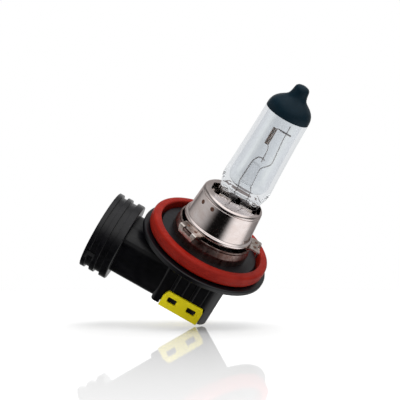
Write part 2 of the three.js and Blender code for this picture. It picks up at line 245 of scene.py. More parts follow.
def soft_path(points, bend, steps=6):
    """A line through corners in space, with each corner turned into a smooth bend."""
    places = [Vector(p) for p in points]
    line = [places[0]]
    for before, here, after in zip(places, places[1:], places[2:]):
        reach = min(bend, (here - before).length * 0.48, (after - here).length * 0.48)
        start = here + (before - here).normalized() * reach
        end = here + (after - here).normalized() * reach
        for k in range(steps + 1):
            t = k / steps
            line.append(start * (1 - t) ** 2 + here * (2 * t * (1 - t)) + end * t ** 2)
    line.append(places[-1])
    return line


def tube_mesh(line, radius, sides=14):
    """A round wire along a line in space, with domed ends."""
    bm = bmesh.new()
    tangents = []
    for i in range(len(line)):
        ahead, behind = line[min(i + 1, len(line) - 1)], line[max(i - 1, 0)]
        tangents.append((ahead - behind).normalized())
    across = tangents[0].orthogonal().normalized()
    rings = []

    def ring(centre, tangent, size):
        side = (across - tangent * across.dot(tangent)).normalized()
        other = tangent.cross(side)
        angles = (TURN * k / sides for k in range(sides))
        return [bm.verts.new(centre + (side * math.cos(a) + other * math.sin(a)) * size) for a in angles]

    def dome(centre, tangent, outwards):
        reach = outwards * radius * 0.6
        levels = [(0.35, 0.94), (0.7, 0.72), (0.94, 0.35)]  # share of the reach, share of the radius
        made = [ring(centre + tangent * (reach * h), tangent, radius * w) for h, w in levels]
        made.append([bm.verts.new(centre + tangent * reach)])
        return made

    for place, tangent in zip(line, tangents):
        across = (across - tangent * across.dot(tangent)).normalized()
        rings.append(ring(place, tangent, radius))
    last = dome(line[-1], tangents[-1], 1)
    across = tangents[0].orthogonal().normalized()
    first = dome(line[0], tangents[0], -1)
    for made in first[:-1]:
        nearest = min(range(sides), key=lambda k: (made[k].co - rings[0][0].co).length)
        made[:] = made[nearest:] + made[:nearest]
    skin(bm, first[::-1] + rings + last)
    return bm


def tube(name, points, radius, bend=1.0, sides=14):
    return crease(to_object(tube_mesh(soft_path(points, bend), radius, sides), name), 60)


def join_into(piece, others):
    """Puts other meshes into a piece's mesh."""
    bm = bmesh.new()
    bm.from_mesh(piece.data)
    for other in others:
        bm.from_mesh(other.data)
        bpy.data.objects.remove(other)
    bm.to_mesh(piece.data)
    bm.free()
    return crease(piece)


# ---------- materials ----------
class Graph:
    """Makes and links the nodes of a tree."""

    def __init__(self, tree):
        self.tree = tree

    def node(self, kind, **settings):
        made = self.tree.nodes.new(kind)
        for key, value in settings.items():
            setattr(made, key, value)
        return made

    def link(self, source, target):
        self.tree.links.new(source, target)

    def math(self, operation, a, b):
        made = self.node("ShaderNodeMath", operation=operation)
        for socket, value in zip(made.inputs, (a, b)):
            if isinstance(value, (int, float)):
                socket.default_value = value
            else:
                self.link(value, socket)
        return made.outputs[0]

    def fade(self, value, start, end, low, high):
        """Runs smoothly from low to high while a value runs from start to end."""
        made = self.node("ShaderNodeMapRange", interpolation_type="SMOOTHSTEP")
        for socket, setting in zip(("From Min", "From Max", "To Min", "To Max"), (start, end, low, high)):
            made.inputs[socket].default_value = setting
        self.link(value, made.inputs["Value"])
        return made.outputs["Result"]


class Look(Graph):
    """A Principled material with helpers for its procedural detail."""

    def __init__(self, name, color, roughness, **sockets):
        self.material = bpy.data.materials.new(name)
        self.material.use_nodes = True
        super().__init__(self.material.node_tree)
        self.shader = self.tree.nodes["Principled BSDF"]
        self.shader.inputs["Base Color"].default_value = (*color, 1)
        self.shader.inputs["Roughness"].default_value = roughness
        for socket, value in sockets.items():
            self.shader.inputs[socket.replace("_", " ")].default_value = value
        self.place = self.node("ShaderNodeTexCoord").outputs["Object"]
        self.height = None

    def stretched(self, scale):
        """Object coordinates multiplied along each axis."""
        multiply = self.node("ShaderNodeVectorMath", operation="MULTIPLY")
        self.link(self.place, multiply.inputs[0])
        multiply.inputs[1].default_value = scale
        return multiply.outputs["Vector"]

    def noise(self, size_mm, detail=4, roughness=0.55, stretch=None):
        """Noise with features of a size in millimetres."""
        made = self.node("ShaderNodeTexNoise")
        made.inputs["Scale"].default_value = 1 / (size_mm * MM)
        made.inputs["Detail"].default_value = detail
        made.inputs["Roughness"].default_value = roughness
        self.link(self.stretched(stretch) if stretch else self.place, made.inputs["Vector"])
        return made.outputs["Fac"]

    def ramp(self, value, stops):
        """Maps a value through (position, grey or colour) stops."""
        made = self.node("ShaderNodeValToRGB")
        elements = made.color_ramp.elements
        while len(elements) < len(stops):
            elements.new(0.5)
        for element, (position, shade) in zip(elements, stops):
            element.position = position
            element.color = (*shade, 1) if hasattr(shade, "__len__") else (shade, shade, shade, 1)
        self.link(value, made.inputs["Fac"])
        return made.outputs["Color"]

    def color(self, source):
        self.link(source, self.shader.inputs["Base Color"])

    def roughness(self, source):
        self.link(source, self.shader.inputs["Roughness"])

    def wear(self, size_mm, low, high):
        """Roughness that drifts between two values."""
        self.roughness(self.ramp(self.noise(size_mm, detail=5), [(0.3, low), (0.7, high)]))

    def bump(self, source, depth_mm):
        """Adds surface relief of a depth in millimetres."""
        made = self.node("ShaderNodeBump")
        made.inputs["Strength"].default_value = 1
        made.inputs["Distance"].default_value = depth_mm * MM
        self.link(source, made.inputs["Height"])
        if self.height:
            self.link(self.height, made.inputs["Normal"])
        self.height = made.outputs["Normal"]
        self.link(self.height, self.shader.inputs["Normal"])

    def vary(self, size_mm, dark, light, **options):
        """Colour that drifts between two shades."""
        self.color(self.ramp(self.noise(size_mm, **options), [(0.35, dark), (0.65, light)]))


BENDING_Z = (10.6, 12.6)  # heights between which the glass stops bending light


def clear_glass():
    """Thin drawn glass, greyer where it is seen edge-on through painted shade and banded by a painted
    highlight, that bends light only in the pinch.
    """
    look = Look("clear_glass", (0.85, 0.87, 0.9), 0.0, Transmission_Weight=1.0, Coat_Weight=0.5,
                Coat_Roughness=0.02)
    facing = look.node("ShaderNodeLayerWeight").outputs["Facing"]
    # Painted shade and painted highlight: the colour runs lighter and darker by how edge-on the wall is
    # seen, down to a painted dark outline at the very edge.
    wall = look.ramp(facing, [
        (0.10, (0.80, 0.825, 0.85)), (0.16, (0.87, 0.895, 0.91)), (0.22, (0.92, 0.945, 0.955)),
        (0.36, (0.84, 0.86, 0.89)), (0.6, (0.86, 0.88, 0.90)), (0.97, (0.80, 0.82, 0.84)),
    ])
    streaks = look.ramp(look.noise(2.2, detail=2, stretch=(1, 1, 0.04)), [(0.38, 0.9), (0.6, 1.0)])
    streaks_and_painted_edge_bands = look.node("ShaderNodeVectorMath", operation="MULTIPLY")
    look.link(wall, streaks_and_painted_edge_bands.inputs[0])
    look.link(streaks, streaks_and_painted_edge_bands.inputs[1])
    look.color(streaks_and_painted_edge_bands.outputs["Vector"])
    height = look.node("ShaderNodeSeparateXYZ")
    look.link(look.place, height.inputs[0])
    bending = look.fade(height.outputs["Z"], BENDING_Z[0] * MM, BENDING_Z[1] * MM, 1.25, 1.0)
    look.link(bending, look.shader.inputs["IOR"])
    look.bump(look.noise(5, detail=1, stretch=(1, 1, 0.35)), 0.03)
    return look


def quartz():
    look = Look("quartz", (0.9, 0.9, 0.9), 0.1, IOR=1.05, Transmission_Weight=1.0, Coat_Weight=0.5)
    facing = look.node("ShaderNodeLayerWeight").outputs["Facing"]
    # Painted shade: the colour darkens where the quartz is seen edge-on.
    quartz_painted_edge_shade = [(0.2, (0.9, 0.9, 0.905)), (0.6, (0.7, 0.7, 0.71)), (0.95, (0.4, 0.4, 0.41))]
    look.color(look.ramp(facing, quartz_painted_edge_shade))
    look.bump(look.noise(0.8, detail=3, stretch=(1, 1, 0.3)), 0.04)
    return look


def black_coat():
    look = Look("black_coat", (0.0035, 0.0125, 0.0205), 0.42, Specular_IOR_Level=0.12)
    look.vary(2.5, (0.0026, 0.0118, 0.0195), (0.0034, 0.0142, 0.0235))
    look.wear(0.5, 0.36, 0.46)
    look.bump(look.noise(0.35, detail=4), 0.003)
    return look


def tungsten():
    look = Look("tungsten", (0.16, 0.12, 0.095), 0.42, Metallic=0.9)
    look.vary(0.3, (0.22, 0.165, 0.135), (0.38, 0.29, 0.24))
    look.bump(look.noise(0.05, detail=3), 0.004)
    return look


def wire_metal():
    look = Look("wire_metal", (0.28, 0.26, 0.255), 0.32, Metallic=1.0)
    look.vary(0.6, (0.36, 0.335, 0.325), (0.55, 0.52, 0.51))
    look.bump(look.noise(0.06, detail=3, stretch=(1, 1, 0.1)), 0.004)
    return look


def foil_metal():
    look = Look("foil_metal", (0.42, 0.40, 0.40), 0.35, Metallic=1.0)
    look.vary(0.7, (0.33, 0.31, 0.31), (0.5, 0.48, 0.48))
    look.bump(look.noise(0.4, detail=4), 0.02)
    return look


def drawn_steel():
    """Polished steel with a warm tint and fine lines turned round the lamp axis."""
    look = Look("drawn_steel", (0.85, 0.755, 0.73), 0.16, Metallic=1.0, Anisotropic=0.3,
                Specular_Tint=(0.45, 0.42, 0.42, 1))
    tangent = look.node("ShaderNodeTangent", direction_type="RADIAL", axis="Z")
    look.link(tangent.outputs[0], look.shader.inputs["Tangent"])
    look.vary(2.6, (0.79, 0.685, 0.65), (0.88, 0.80, 0.78), stretch=(1, 1, 1.6))
    lines = look.noise(0.1, detail=4, roughness=0.7, stretch=(0.02, 0.02, 1))
    smudge = look.noise(1.3, detail=4)
    drift = look.math("ADD", look.math("MULTIPLY", lines, 0.7), look.math("MULTIPLY", smudge, 0.3))
    look.roughness(look.ramp(drift, [(0.38, 0.11), (0.65, 0.22)]))
    look.bump(lines, 0.0014)
    return look


def stamped_steel():
    look = Look("stamped_steel", (0.70, 0.63, 0.60), 0.26, Metallic=1.0)
    look.vary(1.3, (0.40, 0.32, 0.27), (0.76, 0.70, 0.66))
    look.wear(0.5, 0.2, 0.36)
    look.bump(look.noise(0.25, detail=4), 0.004)
    return look


def steel_with_painted_seal_reflection():
    """The skirt's steel, dulled, with a painted brown reflection of the red seal in its colour."""
    look = Look("steel_with_painted_seal_reflection", (0.42, 0.33, 0.29), 0.32, Metallic=1.0)
    # Painted reflection: the brown colour stands in for the red seal mirrored in the steel, with darker
    # patches that drift at random.
    look.vary(1.8, (0.17, 0.095, 0.08), (0.40, 0.32, 0.295), stretch=(1, 1, 0.5))
    look.wear(0.6, 0.24, 0.42)
    look.bump(look.noise(0.12, detail=4, stretch=(0.05, 0.05, 1)), 0.002)
    return look


def weld_oxide():
    look = Look("weld_oxide", (0.10, 0.045, 0.03), 0.5, Metallic=0.4)
    look.vary(0.3, (0.05, 0.020, 0.013), (0.19, 0.09, 0.06))
    look.bump(look.noise(0.08, detail=4), 0.01)
    return look


def black_plastic():
    """Glass-filled nylon: near black with a slight violet cast and a fine grain."""
    look = Look("black_plastic", (0.003, 0.0028, 0.0045), 0.34, Specular_IOR_Level=0.45)
    look.vary(4, (0.0012, 0.0011, 0.0022), (0.0026, 0.0024, 0.0042))
    look.wear(1.2, 0.28, 0.42)
    look.bump(look.noise(0.12, detail=4), 0.003)
    look.bump(look.noise(0.9, detail=2), 0.006)
    return look


def red_silicone():
    look = Look("red_silicone", (0.25, 0.012, 0.004), 0.38, Subsurface_Weight=0.05,
                Subsurface_Radius=(0.0012, 0.0003, 0.0002), Subsurface_Scale=0.6,
                Specular_IOR_Level=0.14)
    look.vary(3, (0.205, 0.006, 0.002), (0.255, 0.011, 0.0045), detail=5)
    look.wear(0.8, 0.36, 0.52)
    look.bump(look.noise(0.15, detail=4), 0.006)
    return look


def yellow_plastic():
    look = Look("yellow_plastic", (0.92, 0.78, 0.004), 0.42, Subsurface_Weight=0.05,
                Subsurface_Radius=(0.001, 0.0008, 0.0001), Specular_IOR_Level=0.3)
    look.vary(3, (0.88, 0.735, 0.003), (0.95, 0.815, 0.006))
    look.wear(0.8, 0.33, 0.48)
    look.bump(look.noise(0.12, detail=4), 0.005)
    return look


def tinned_brass():
    look = Look("tinned_brass", (0.70, 0.64, 0.52), 0.28, Metallic=1.0)
    look.vary(1.2, (0.60, 0.53, 0.40), (0.78, 0.74, 0.66))
    look.wear(0.4, 0.2, 0.4)
    look.bump(look.noise(0.1, detail=3, stretch=(0.1, 1, 1)), 0.005)
    return look


LOOKS = {make.__name__: make().material for make in (
    clear_glass, quartz, black_coat, tungsten, wire_metal, foil_metal, drawn_steel,
    stamped_steel, steel_with_painted_seal_reflection, weld_oxide, black_plastic, red_silicone, yellow_plastic, tinned_brass)}


def place_piece(piece, look, slot, *nodes, body="lamp"):
    """Gives a piece its material and its body, and hides the CAD nodes that it stands for; slot is not
    used.
    """
    piece.data.materials.clear()
    piece.data.materials.append(LOOKS[look])
    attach(piece, body)
    if nodes:
        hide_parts(*nodes)
    return piece


# ---------- glass ----------
COAT_EDGE = COAT_LOW.z
COAT_FILM = 0.06

# Outer section of the envelope: (z, half width along x, half depth along y, squareness).
PINCH_ROWS = [
    (GLASS_LOW.z, 4.75, 1.25, 6), (GLASS_LOW.z + 0.12, 4.92, 1.45, 7), (GLASS_LOW.z + 0.35, 5.0, 1.55, 8),
    (6.2, 5.0, 1.55, 8), (8.8, 5.0, 1.58, 8), (9.5, 5.02, 1.68, 7), (10.0, 5.06, 1.95, 5.5),
    (10.4, 5.14, 2.45, 4.3), (10.8, 5.28, 3.15, 3.4), (11.2, 5.44, 3.9, 2.8), (11.6, 5.58, 4.55, 2.45),
    (12.1, 5.7, 5.1, 2.2), (12.7, 5.8, 5.5, 2.08), (13.4, 5.84, 5.75, 2.02), (14.2, 5.8, 5.79, 2),
]
# Above the pinch the section is round: (z, radius) for the tube, (radius, z) for the dome and
# for the hollow inside.
TUBE_ROWS = [
    (15.4, 5.72), (17.5, 5.58), (20, 5.45), (22.7, 5.32), (25.4, 5.2), (28.2, 5.1),
    (COAT_EDGE - 0.05, 5.02),
]
DOME_LINE = [
    (5.0, COAT_EDGE + 0.05), (4.98, 31.5), (4.88, 32.1), (4.66, 32.7), (4.3, 33.25), (3.75, 33.8),
    (3.1, 34.28), (2.55, 34.66), (2.2, 35.0), (1.98, 35.4), (1.83, 35.9), (1.73, 36.4), (1.66, 36.9),
    (1.52, 37.3), (1.2, 37.6), (0.75, 37.76), (0.35, 37.79), (0, COAT_HIGH.z),
]
HOLLOW_LINE = [
    (0, 12.1), (1.5, 12.1), (2.8, 12.15), (3.7, 12.35), (4.35, 12.8), (4.68, 13.5), (4.76, 14.4),
    (4.68, 16), (4.52, 18.5), (4.38, 21.5), (4.22, 25), (4.1, 28.5), (4.0, 30.9), (3.82, 31.8),
    (3.4, 32.5), (2.7, 33.0), (1.8, 33.25), (1.0, 33.4), (0.45, 33.75), (0, 34.1),
]
RAIL = 0.28  # the pinch is thicker along its two edges
PADS = [(-3.3, 9.9, 1.0), (0.3, 10.3, 1.3), (3.6, 9.9, 1.0)]  # ovals with a dimple: x, z, half length
PAD_HALF_HEIGHT, PAD_RISE = 0.5, 0.32


def section_point(angle, wide, deep, squareness, z):
    """A point of the envelope's outer section at a height, with the pinch's rails and pads."""
    power = 2 / squareness
    cosine, sine = math.cos(angle), math.sin(angle)
    x = wide * math.copysign(abs(cosine) ** power, cosine)
    y = deep * math.copysign(abs(sine) ** power, sine)
    raised = RAIL * smooth(3.2, 3.9, abs(x)) * (1 - smooth(9.4, 10.4, z))
    for pad_x, pad_z, half_length in PADS:
        spread = math.hypot((x - pad_x) / half_length, (z - pad_z) / PAD_HALF_HEIGHT)
        oval = PAD_RISE * (1 - smooth(0.55, 1.0, spread))
        dimple = PAD_RISE * 0.6 * (1 - smooth(0.1, 0.5, spread))
        raised += oval - dimple
    return Vector((GLASS_X + x, y + math.copysign(raised, sine), z))


def between(rows, step):
    """Fills in rows so that none are further apart than a step."""
    filled = []
    for low, high in zip(rows, rows[1:]):
        count = max(1, round((high[0] - low[0]) / step))
        for k in range(count):
            filled.append(tuple(a + (b - a) * k / count for a, b in zip(low, high)))
    return [*filled, rows[-1]]


def envelope_glass():
    sides = 128
    bm = bmesh.new()
    rows = [*between(PINCH_ROWS, 0.14), *((z, r, r, 2) for z, r in TUBE_ROWS)]
    rows += [(z, r - COAT_FILM, r - COAT_FILM, 2) for r, z in DOME_LINE[:-3]]
    rings = []
    for z, wide, deep, squareness in rows:
        angles = (TURN * (i + 0.5) / sides for i in range(sides))
        rings.append([bm.verts.new(section_point(a, wide, deep, squareness, z)) for a in angles])
    rings.append([bm.verts.new((GLASS_X, 0, DOME_LINE[-1][1] - COAT_FILM))])
    skin(bm, rings)
    bm.faces.new(rings[0])
    bmesh.ops.recalc_face_normals(bm, faces=bm.faces)
    hollow = lathe_mesh(HOLLOW_LINE, centre=(GLASS_X, 0, 0), sides=96)
    bmesh.ops.recalc_face_normals(hollow, faces=hollow.faces)
    bmesh.ops.reverse_faces(hollow, faces=hollow.faces)
    inside = bpy.data.meshes.new("hollow")
    hollow.to_mesh(inside)
    hollow.free()
    bm.from_mesh(inside)
    bpy.data.meshes.remove(inside)
    piece = crease(to_object(bm, "envelope_glass", outward=False), 50)
    place_piece(piece, "clear_glass", "clear_glass", "glass_envelope")


def top_coat():
    film = [(max(r - COAT_FILM * 0.8, 0), z - (0 if r else COAT_FILM * 0.8)) for r, z in DOME_LINE]
    piece = lathe("top_coat", DOME_LINE + film[::-1], centre=(GLASS_X, 0, 0), sides=128, closed=True)
    place_piece(piece, "black_coat", "black_coat", "black_top_coat")


# ---------- light source ----------
FILAMENT_Z = 25.0
COIL_RADIUS, COIL_WIRE, COIL_TURNS, COIL_LENGTH = 0.44, 0.115, 12, 4.2

# Each wire is (piece, CAD node, radius, route), with its route listed point by point.
WIRES = [
    ("upper_bar", "upper_clamp_bar", 0.19, [(1.2, -0.05, 27.1), (2.3, -0.35, 27.15), (3.65, -0.72, 27.27)]),
    ("lower_bar", "lower_clamp_bar", 0.14, [(1.0, -0.02, 21.15), (1.05, 0, 19.9), (1.1, -0.02, 18.85)]),
    ("long_wire", "long_support_wire", 0.12, [
        (2.7, 0, 9.6), (2.45, 0, 11.4), (1.98, 0, 12.3), (1.55, 0.05, 17.3), (3.38, 0.3, 19.15),
        (2.7, 0.3, 25.5), (2.62, 0.3, 28.75),
    ]),
    ("short_wire", "short_support_wire", 0.14, [
        (-0.35, 0, 9.6), (-0.5, 0, 11.2), (-0.98, 0, 12.3), (-0.8, 0, 17.2), (-0.62, -0.1, 18.55),
        (0.05, -0.4, 19.75), (1.0, -0.62, 19.85), (1.5, -0.75, 19.72),
    ]),
]


def coil_line():
    steps = 16
    count = COIL_TURNS * steps
    turns = []
    for i in range(count + 1):
        a = TURN * i / steps
        z = FILAMENT_Z - COIL_LENGTH / 2 + COIL_LENGTH * i / count
        turns.append(Vector((COIL_RADIUS * math.cos(a), COIL_RADIUS * math.sin(a), z)))
    return turns


def light_source():
    coil = crease(to_object(tube_mesh(coil_line(), COIL_WIRE, 10), "filament_coil"), 60)
    below = tube("leg", [(0.44, 0, 22.9), (0.72, 0, 22.6), (0.9, 0, 22.0), (1.0, -0.02, 21.05)], 0.07, 0.3)
    above = tube("leg", [(0.44, 0, 27.1), (0.9, 0, 27.16), (1.5, -0.1, 27.12)], 0.1, 0.3)
    place_piece(join_into(coil, [below, above]), "tungsten", "tungsten", "filament")
    for name, node, radius, points in WIRES:
        piece = tube(name, points, radius, bend=0.9)
        place_piece(piece, "wire_metal", "lead_wire", node)


def bridge():
    """Slab between the two wires, narrower at its top."""
    half = corners("quartz_bridge")[1].y
    outline = rounded_loop([
        (-0.85, 12.7, 0.35), (1.88, 12.7, 0.35), (1.46, 17.7, 0.4), (-0.62, 17.95, 0.4),
    ])
    piece = prism("bridge_slab", outline, -half, half, bevel=(0.2, 0.2), turn=ALONG_Y)
    place_piece(piece, "quartz", "quartz", "quartz_bridge")


def foils():
    for place in ("front", "back"):
        low, high = corners(f"foil_{place}")
        outline = rectangle((low.x, high.x), (low.z, high.z), [0.3] * 4)
        piece = prism(f"pinch_foil_{place}", outline, -0.02, 0.02, turn=ALONG_Y)
        place_piece(piece, "foil_metal", "foil", f"foil_{place}")


LEAD_RADIUS = 0.28
LEAD_INSET = 0.45  # from the riser of the blade to the middle of the lead


def outer_leads():
    for place, side in (("front", -1), ("back", 1)):
        low, high = corners(f"outer_lead_{place}")
        foil_low, foil_high = corners(f"foil_{place}")
        x = (foil_low.x + foil_high.x) / 2
        end_x = BLADE_HIGH.x - BLADE_THICK - LEAD_INSET
        y = side * BLADE_Y
        points = [
            (x, 0, high.z + 0.2), (x, 0, 2.4), (x, y / 2, -2), (end_x, y, -7.5), (end_x, y, low.z + 0.2),
        ]
        piece = tube(f"lead_out_{place}", points, LEAD_RADIUS, bend=1.6)
        place_piece(piece, "wire_metal", "lead_wire", f"outer_lead_{place}")


# ---------- metal parts ----------
SHEET = 0.32
SHELL_FOOT, SHELL_NECK = 7.9, 7.42
WALL_FOOT = (SHELL_FOOT + 0.1, SHELL_LOW.z + 0.95)  # ends of the shell's tapered wall: radius, height
WALL_NECK = (SHELL_NECK + 0.02, SHELL_HIGH.z - 1.12)


def shell():
    """Drawn cap: a bead round its foot, a tapered wall, a fine groove and a flat top."""
    low, top, bead = SHELL_LOW.z, SHELL_HIGH.z, SHELL_HIGH.x
    groove, rim = SHELL_NECK - 0.16, SHELL_NECK - 0.02
    profile = [
        (SHELL_FOOT - SHEET, low, 0), (bead - 0.1, low, 0.2), (bead, low + 0.3, 0.25),
        (bead - 0.1, low + 0.72, 0.2), (*WALL_FOOT, 0.25), (*WALL_NECK, 0),
        (groove, top - 1.0, 0.08), (groove, top - 0.94, 0.08), (rim, top - 0.84, 0.06),
        (rim, top, 0.85), (3.0, top, 0), (3.0, top - SHEET, 0),
        (SHELL_NECK - SHEET - 0.15, top - SHEET, 0.5), (SHELL_FOOT - SHEET, low + 0.9, 0.2),
        (SHELL_FOOT - SHEET, low, 0),
    ]
    cap = lathe("shell", rounded(profile)[:-1], sides=160, closed=True)
    return combine(cap, window_cutters(), "DIFFERENCE")


def window_cutters():
    """The long opening for the pinch, with a round notch at each corner."""
    z = (SHELL_HIGH.z - 1.6, SHELL_HIGH.z + 1)
    wide = rectangle((GLASS_X - 6.35, GLASS_X + 6.0), (-2.5, 2.5), [1.1] * 4)
    slot = prism("window", wide, *z)
    notches = [
        prism("notch", rectangle((x - 1.35, x + 1.35), (-3.15, 3.15), [0.9] * 4), *z)
        for x in (GLASS_X - 4.2, GLASS_X + 3.9)
    ]
    return [slot, *notches]


SPRING_X, SPRING_WIDTH, SPRING_SHEET = 2.6, 3.0, 0.14


def holder():
    """Sheet holder below the window: a cup, and wavy springs that press on the pinch."""
    band, web, sheet = 6.55, 6.9, 0.3
    profile = [
        (band - sheet, 4.6, 0), (band, 4.6, 0), (band, web + sheet, 0.35), (0, web + sheet, 0),
        (0, web, 0), (band - sheet, web, 0.2),
    ]
    cup = lathe("holder", rounded(profile), sides=96, closed=True)
    outline = rectangle((GLASS_X - 5.35, GLASS_X + 5.35), (-2.15, 2.15), [0.4] * 4)
    combine(cup, [prism("hole", outline, web - 1, web + 1)], "DIFFERENCE")
    springs = [spring(GLASS_X + x, side, web) for side in (-1, 1) for x in (-SPRING_X, SPRING_X)]
    return join_into(cup, springs)


def spring(x, side, web):
    """A strip that leaves the web near the window's edge, rolls over and ends on the pinch."""
    crest = web + 1.55
    path = rounded([
        (2.95, web + 0.1, 0), (2.8, crest, 0.45), (2.05, crest + 0.1, 0.35), (1.9, web + 0.2, 0),
    ])
    count = len(path)
    rims = []
    for i, point in enumerate(path):
        along = (path[min(i + 1, count - 1)] - path[max(i - 1, 0)]).normalized()
        rims.append(point + Vector((along.y, -along.x)) * -SPRING_SHEET)
    bm = bmesh.new()
    half = SPRING_WIDTH / 2
    rows = []
    for a, b in zip(path, rims):
        spots = [(x - half, a), (x + half, a), (x + half, b), (x - half, b)]
        rows.append([bm.verts.new((px, side * p.x, p.y)) for px, p in spots])
    skin(bm, rows, capped=True)
    return crease(to_object(bm, "spring"))


LUG_WIDTH = 5.6
LUG_ANGLES = (0, 120, 240)
LUG_STEP = 0.45  # how far a lug rises beside the shell's bead
LUG_SHEET = 0.42


def lug_ring():
    """Flat ring with three lugs, each with rounded corners and a tip that turns down."""
    inner, plate = 6.7, 7.95
    profile = [(inner, -LUG_SHEET, 0), (plate, -LUG_SHEET, 0.1), (plate, 0, 0.1), (inner, 0, 0)]
    disc = lathe("lug_ring", rounded(profile), sides=160, closed=True)
    lugs = [lug(angle, plate - 0.15, LUGS_HIGH.x - 0.02) for angle in LUG_ANGLES]
    return combine(disc, lugs, "UNION")


def lug(degrees, inner, outer):
    """A plate that steps up beside the shell's bead, runs out flat and turns down at its tip."""
    drop, step, thick = -LUGS_LOW.z, LUG_STEP, LUG_SHEET
    top_line = rounded([
        (inner, 0, 0), (inner + 0.5, 0, 0.1), (inner + 0.9, step, 0.2), (outer, step, 0.55),
        (outer, -drop, 0),
    ], 6)
    under_line = rounded([
        (inner, -thick, 0), (inner + 0.6, -thick, 0.2), (inner + 1.0, step - thick, 0.1),
        (outer - thick, step - thick, 0.2), (outer - thick, -drop, 0),
    ], 6)
    bm = bmesh.new()
    rows = []
    for upper, lower in zip(top_line, under_line):
        narrowing = smooth(inner + 0.8, outer, upper.x) * 0.25 + 0.5 * smooth(0, drop, -upper.y)
        half = LUG_WIDTH / 2 - narrowing
        spots = [(upper, -half), (upper, half), (lower, half), (lower, -half)]
        rows.append([bm.verts.new((p.x, y, p.y)) for p, y in spots])
    skin(bm, rows, capped=True)
    bmesh.ops.recalc_face_normals(bm, faces=bm.faces)
    plate = crease(to_object(bm, "lug"))
    notch = slab("notch", (outer - 0.75, outer + 0.2), (-1.25, 1.25), (-0.55, step + 0.2), 0.08)
    combine(plate, [notch], "DIFFERENCE")
    plate.data.transform(Matrix.Rotation(math.radians(degrees), 4, "Z"))
    return plate


def skirt():
    """Open cylinder that flares from a rolled rim close under the ring."""
    radius, wall = 9.5, 0.4
    low, rim = SKIRT_LOW.z, SKIRT_HIGH.z + 0.24
    profile = [
        (radius - wall, low, 0), (radius, low, 0), (radius, rim - 1.9, 0.5), (9.05, rim - 0.55, 0.3),
        (9.2, rim - 0.28, 0.14), (9.1, rim, 0.12), (8.75, rim, 0.1), (8.7, rim - 0.5, 0.2),
        (radius - wall, rim - 2.0, 0.4), (radius - wall, low, 0),
    ]
    return lathe("skirt", rounded(profile)[:-1], sides=160, closed=True)


def weld_spot(name, place, normal, radius):
    """A shallow fused dimple with a raised rim."""
    profile = [
        (0, 0.02), (radius * 0.45, 0.025), (radius * 0.7, 0.06), (radius * 0.88, 0.055), (radius, 0.0),
        (radius * 0.9, -0.06), (0, -0.06),
    ]
    bm = lathe_mesh(profile, sides=28)
    turn = Vector(normal).to_track_quat("Z", "Y").to_matrix().to_4x4()
    bm.transform(Matrix.Translation(place) @ turn)
    piece = crease(to_object(bm, name), 60)
    return place_piece(piece, "weld_oxide", "ring_steel")


def shell_radius(z):
    """Outside radius of the shell's tapered wall."""
    (foot_radius, foot), (neck_radius, neck_z) = WALL_FOOT, WALL_NECK
    return foot_radius + (neck_radius - foot_radius) * (z - foot) / (neck_z - foot)


SHELL_WELDS = [(-139, 5.85), (-115, 6.2)]  # degrees round the lamp axis, height
SHELL_WELD_RADIUS, LUG_WELD_RADIUS = 0.52, 0.42
LUG_WELD_OUT, LUG_WELD_ASIDE = 9.75, 1.15  # from the lamp axis, and from the lug's middle line


def welds():
    for i, (degrees, z) in enumerate(SHELL_WELDS):
        a = math.radians(degrees)
        radius = shell_radius(z)
        out = Vector((math.cos(a), math.sin(a), 0.07))
        place = (radius * out.x, radius * out.y, z)
        weld_spot(f"shell_weld_{i + 1}", place, out, SHELL_WELD_RADIUS)
    for i, degrees in enumerate(LUG_ANGLES):
        turn = Matrix.Rotation(math.radians(degrees), 3, "Z")
        for j, aside in enumerate((-LUG_WELD_ASIDE, LUG_WELD_ASIDE)):
            place = turn @ Vector((LUG_WELD_OUT, aside, LUG_STEP))
            weld_spot(f"lug_weld_{i + 1}_{j + 1}", place, (0, 0, 1), LUG_WELD_RADIUS)


def metalwork():
    place_piece(shell(), "drawn_steel", "shell_steel", "metal_shell")
    place_piece(holder(), "stamped_steel", "ring_steel", "pinch_holder")
    place_piece(lug_ring(), "stamped_steel", "ring_steel", "locating_ring")
    place_piece(skirt(), "steel_with_painted_seal_reflection", "ring_steel", "ring_skirt")
    welds()


# ---------- base ----------
FLANGE_TOP, FLANGE_BOTTOM = -6.0, -7.2
SPIGOT_RADIUS, SPIGOT_TOP = 12.3, BASE_HIGH.z
COLUMN_X, COLUMN_Y = (-5.4, 9.0), 7.0
COLLAR_X = (BASE_LOW.x, -17.1)
COLLAR_GROOVE = COLLAR_RADIUS - 0.6
CUP_RADIUS = 7.9
SOCKET_END = -9.2
COVER_FACE = COVER_HIGH.y
FLAP = 0.8
GAP = 0.12


def flange():
    profile = [
        (0, FLANGE_BOTTOM, 0), (FLANGE_RADIUS, FLANGE_BOTTOM, 0.3), (FLANGE_RADIUS, FLANGE_TOP, 0.35),
        (SPIGOT_RADIUS, FLANGE_TOP, 0.15), (SPIGOT_RADIUS, SPIGOT_TOP, 0.35), (0, SPIGOT_TOP, 0),
    ]
    return lathe("base", rounded(profile), sides=160)


def collar():
    front, back = COLLAR_X
    ribs = [(front, front + 1.1), (front + 2.4, front + 3.6), (front + 5.1, back)]
    points = [(0, front, 0)]
    for i, (start, end) in enumerate(ribs):
        soft = 0.06 if i < 2 else 0.3
        if i:
            points.append((COLLAR_GROOVE, start, 0.04))
        points += [(COLLAR_RADIUS, start, 0.06), (COLLAR_RADIUS, end, soft)]
        if i < 2:
            points.append((COLLAR_GROOVE, end, 0.04))
    points.append((0, back, 0))
    return lathe("collar", rounded(points), turn=ALONG_X, centre=(0, 0, PORT_Z), sides=128)


